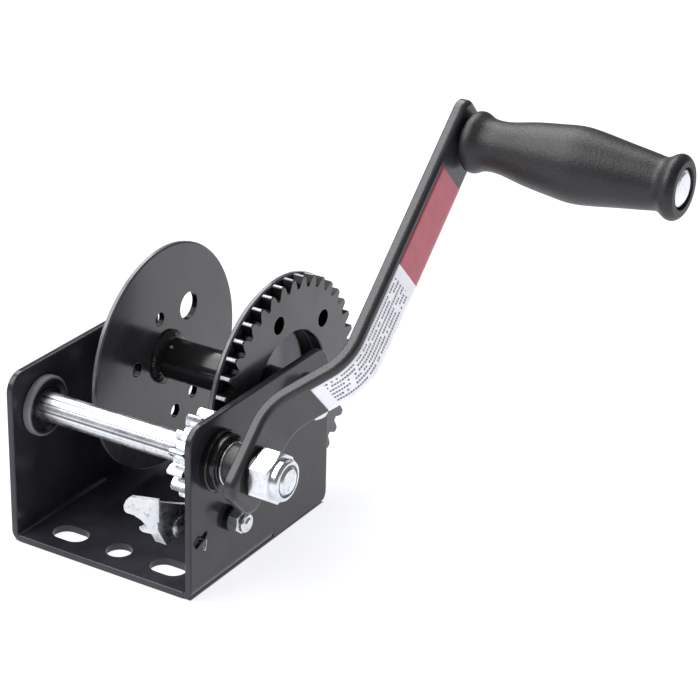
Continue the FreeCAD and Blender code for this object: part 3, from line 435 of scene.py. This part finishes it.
def paint_all():
    """Makes the materials and puts them on the pieces."""
    pinion = tuple(PINION_AXIS)
    drum = tuple(DRUM_AXIS)
    flange_rim = radius_of("drum_left_flange") - 0.4 * MM
    dish_rim = radius_of("drum_right_flange") - 0.4 * MM
    dish_disc = 25.2 * MM
    tooth_tips = radius_of("drum_gear")
    bush_rim = radius_of("left_shaft_bush") - 1.3 * MM
    # Scuff marks and painted highlight on the bar's edges.
    bar_scuffs_and_highlight = (0.09, BAR_LOW.x + 4.4 * MM, BAR_HIGH.x - 6.2 * MM)
    table = (
        (powder_coat("frame_powder_coat", 0.034, 0.18, ior=1.45, blue=1.25), ("frame",)),
        # Painted light on the drum: highlights on the flange rims and tooth tips, shade in the holes, the
        # recess and between the teeth, and a paler disc in the dish.
        (powder_coat("flange_powder_coat", 0.075, 0.18, ior=1.62, wheel=(drum, flange_rim, 0.18)),
         ("drum_left_flange",)),
        (powder_coat("dish_powder_coat", 0.07, 0.2, ior=1.6, disc=(drum, dish_disc, 0.75),
                     wheel=(drum, dish_rim, 0.14)), ("drum_right_flange",)),
        (powder_coat("gear_powder_coat", 0.075, 0.18, ior=1.6, wheel=(drum, tooth_tips, 0.7)),
         ("drum_gear",)),
        (powder_coat("hub_gloss_paint", 0.014, 0.12), ("drum_hub",)),
        (powder_coat("weld_gloss_paint", 0.018, 0.12, ripple=(drum, 0.8 * MM)), ("hub_weld_collar",)),
        (powder_coat("crank_powder_coat", 0.04, 0.24, wear=0.6, edge_tone=0.12, scuffs_and_highlight=bar_scuffs_and_highlight),
         ("crank_bar",)),
        (powder_coat("boss_black", 0.01, 0.12),
         ("right_shaft_bush", "nut_washer", "grip_washer", "pawl_washer")),
        (moulded_plastic("bush_nylon_black", 0.014, 0.3, 900.0, 0.01 * MM, rim=(pinion, bush_rim, 0.24)),
         ("left_shaft_bush",)),
        (moulded_plastic("spacer_black", 0.03, 0.35, 1100.0, 0.05 * MM), ("handle_spacer",)),
        (moulded_plastic("grip_grained_plastic", 0.018, 0.42, 1250.0, 0.1 * MM), ("grip",)),
        (zinc("shaft_zinc", 0.9, 0.26, pinion, along=3.0, around=9.0, stain=0.45, streaks_and_reflection=0.85),
         ("pinion_shaft",)),
        (zinc("pinion_zinc", 0.86, 0.2, stain=0.5), ("pinion_gear", "pinion_collar")),
        (zinc("nut_zinc", 0.88, 0.16, stain=0.25), ("handle_nut", "handle_washer")),
        (zinc("fastener_zinc", 0.84, 0.2, drum),
         ("axle_bolt", "axle_washers", "axle_nut", "axle_sleeve", "shaft_end_washer", "pawl_sleeve",
          "pawl_bolt", "pawl_nut")),
        (zinc("pawl_zinc", 0.78, 0.24, stain=0.75), ("pawl",)),
        (zinc("rivet_zinc", 0.95, 0.2), ("grip_rivet",)),
        (spring_wire("spring_steel"), ("pawl_spring", "shaft_retaining_clip")),
        (nylon("lock_ring_nylon"), ("nut_lock_ring",)),
    )
    for material, names in table:
        for name in names:
            dress(name, material)


paint_all()


# ---- label on the crank bar ---------------------------------------------------------------------
CRANK_LEAN = math.atan2(GRIP_AXIS.z - PINION_AXIS.z, GRIP_AXIS.y - PINION_AXIS.y)
BAR_ALONG = Vector((0, math.cos(CRANK_LEAN), math.sin(CRANK_LEAN)))
BAR_ACROSS = Vector((0, -math.sin(CRANK_LEAN), math.cos(CRANK_LEAN)))
LABEL_COLUMNS = 90
LABEL_ROWS = 12
FILM_GAP = 0.02 * MM
RAY_START_X = 0.12


def bar_surface():
    """Search tree over the crank bar's mesh, in the CAD's own frame."""
    bar = NODES["crank_bar"]
    mesh = bar.data
    points = [bar.matrix_world @ vertex.co for vertex in mesh.vertices]
    return BVHTree.FromPolygons(points, [tuple(face.vertices) for face in mesh.polygons])


def label_corner(surface, step, across):
    """Point of the film's underside, just clear of the bar, from a ray sent back against the bar."""
    start = PINION_AXIS + BAR_ALONG * (LABEL_START + step) + BAR_ACROSS * across
    start.x = RAY_START_X
    hit, normal, _, _ = surface.ray_cast(start, Vector((-1, 0, 0)))
    return hit + normal * FILM_GAP


def build_label():
    """Film laid on the outer face of the bar, over its second bend; UV is in metres along and across."""
    surface = bar_surface()
    grid = bmesh.new()
    uv = grid.loops.layers.uv.new("film")
    top, place = [], []
    length, step, previous = 0.0, 0.0, None
    for column in range(LABEL_COLUMNS + 1):
        acrosses = [LABEL_LOW + (LABEL_HIGH - LABEL_LOW) * row / LABEL_ROWS for row in range(LABEL_ROWS + 1)]
        line = [label_corner(surface, step, across) for across in acrosses]
        middle = line[LABEL_ROWS // 2]
        if previous is not None:
            length += (middle - previous).length
        previous = middle
        top.append([grid.verts.new(point) for point in line])
        place.append([(length, across - LABEL_LOW) for across in acrosses])
        step += LABEL_LENGTH / LABEL_COLUMNS
    for column in range(LABEL_COLUMNS):
        for row in range(LABEL_ROWS):
            corners = ((column, row), (column + 1, row), (column + 1, row + 1), (column, row + 1))
            face = grid.faces.new([top[i][j] for i, j in corners])
            face.smooth = True
            for loop, (i, j) in zip(face.loops, corners):
                loop[uv].uv = place[i][j]
    bmesh.ops.recalc_face_normals(grid, faces=grid.faces)
    mesh = bpy.data.meshes.new("crank_label")
    grid.to_mesh(mesh)
    grid.free()
    if mesh.polygons[0].normal.x < 0:
        mesh.flip_normals()
    mesh.materials.append(label_film("label_print"))
    label = bpy.data.objects.new("crank_label", mesh)
    bpy.context.scene.collection.objects.link(label)
    solid = label.modifiers.new("thickness", "SOLIDIFY")
    solid.thickness = LABEL_THICKNESS
    solid.offset = 1.0
    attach(label, "crank")


build_label()


# ---- stage: floor, light and camera -------------------------------------------------------------
FLOOR_SIZE = 6.0
FLOOR_DROP = 0.05 * MM
FLOOR_GLOW = 0.88
CONTACT_INSET = 3.1 * MM
CONTACT_HALF_WIDTH = 1.9 * MM
CONTACT_BLUR = 0.6 * MM
CONTACT_SHARE = 0.05
WHITE_LIGHT = (0.97, 0.98, 1.0, 1)
WORLD_STRENGTH = 0.18
AIM = Vector((0.03, 0.04, 0.06))


def floor_material():
    """Pale and glowing like a light table.

    The glow would wash out the shadow where the winch touches the floor, so a dark line just inside the
    outline of the base stands in for it."""
    p = Painter("pale_floor")
    cloud = p.noise(p.place(), 2.0, 2.0)
    centre = (BASE_LOW + BASE_HIGH) / 2
    half = (BASE_HIGH - BASE_LOW) / 2
    x, y, _ = p.split(p.place(origin=(centre.x, centre.y, 0.0)))
    outside = p.math("MAXIMUM", p.math("SUBTRACT", p.math("ABSOLUTE", x), half.x),
                     p.math("SUBTRACT", p.math("ABSOLUTE", y), half.y))
    from_line = p.math("ABSOLUTE", p.math("ADD", outside, CONTACT_INSET))
    glow = p.spread(from_line, CONTACT_SHARE * FLOOR_GLOW, FLOOR_GLOW, CONTACT_HALF_WIDTH,
                    CONTACT_HALF_WIDTH + CONTACT_BLUR)
    p.link(glow, p.shader.inputs["Emission Strength"])
    p.set(Emission_Color=(0.97, 0.975, 1.0, 1), Specular_IOR_Level=0.0)
    colour = p.ramp(cloud, [(0.3, (0.24, 0.24, 0.25)), (0.7, (0.26, 0.26, 0.27))])
    return p.finish(colour, p.spread(cloud, 0.75, 0.8))


def build_floor():
    """One large square, just below the winch."""
    corners = [(FLOOR_SIZE * x, FLOOR_SIZE * y, 0) for x, y in ((-1, -1), (1, -1), (1, 1), (-1, 1))]
    mesh = bpy.data.meshes.new("floor")
    mesh.from_pydata(corners, [], [(0, 1, 2, 3)])
    mesh.materials.append(floor_material())
    floor = bpy.data.objects.new("floor", mesh)
    floor.location.z = -FLOOR_DROP
    bpy.context.scene.collection.objects.link(floor)


def softbox(name, direction, distance, size, radiance):
    """Square area light that looks at the winch; radiance is what a mirror would show."""
    data = bpy.data.lights.new(name, "AREA")
    data.shape = "SQUARE"
    data.size = size
    data.energy = radiance * math.pi * size * size
    light = bpy.data.objects.new(name, data)
    toward = Vector(direction).normalized()
    light.location = AIM + toward * distance
    light.rotation_euler = (-toward).to_track_quat("-Z", "Y").to_euler()
    bpy.context.scene.collection.objects.link(light)


def build_light():
    """Two softboxes over the drum side and the left front, in a dim room."""
    world = bpy.data.worlds.new("studio")
    bpy.context.scene.world = world
    world.use_nodes = True
    back = world.node_tree.nodes["Background"]
    back.inputs["Color"].default_value = WHITE_LIGHT
    back.inputs["Strength"].default_value = WORLD_STRENGTH
    softbox("key", direction=(-0.40, 0.38, 0.84), distance=1.2, size=0.9, radiance=4.6)
    softbox("front_left", direction=(-0.45, -0.45, 0.77), distance=1.3, size=1.1, radiance=4.3)
    bpy.context.scene.view_settings.view_transform = "Standard"


def build_camera():
    """Long lens from the right front, a little above: the view that product pictures of such winches use."""
    azimuth = math.radians(30.95)
    elevation = math.radians(24.99)
    roll = math.radians(1.46)
    distance = 0.96396
    back = Vector((math.sin(azimuth) * math.cos(elevation), -math.cos(azimuth) * math.cos(elevation),
                   math.sin(elevation)))
    level = Vector((math.cos(azimuth), math.sin(azimuth), 0))
    up = back.cross(level)
    right = level * math.cos(roll) + up * math.sin(roll)
    top = up * math.cos(roll) - level * math.sin(roll)
    over_the_base = Vector((0, 0.03483, 0.04304))
    aim = over_the_base + right * 0.07366 + top * 0.03117
    data = bpy.data.cameras.new("camera")
    data.sensor_width = 36.0
    data.lens = 123.25
    data.shift_x = -0.0034
    data.clip_start = 0.05
    camera = bpy.data.objects.new("camera", data)
    turn = Matrix((right, top, back)).transposed().to_4x4()
    camera.matrix_world = Matrix.Translation(aim + back * distance) @ turn
    bpy.context.scene.collection.objects.link(camera)
    bpy.context.scene.camera = camera


build_floor()
build_light()
build_camera()
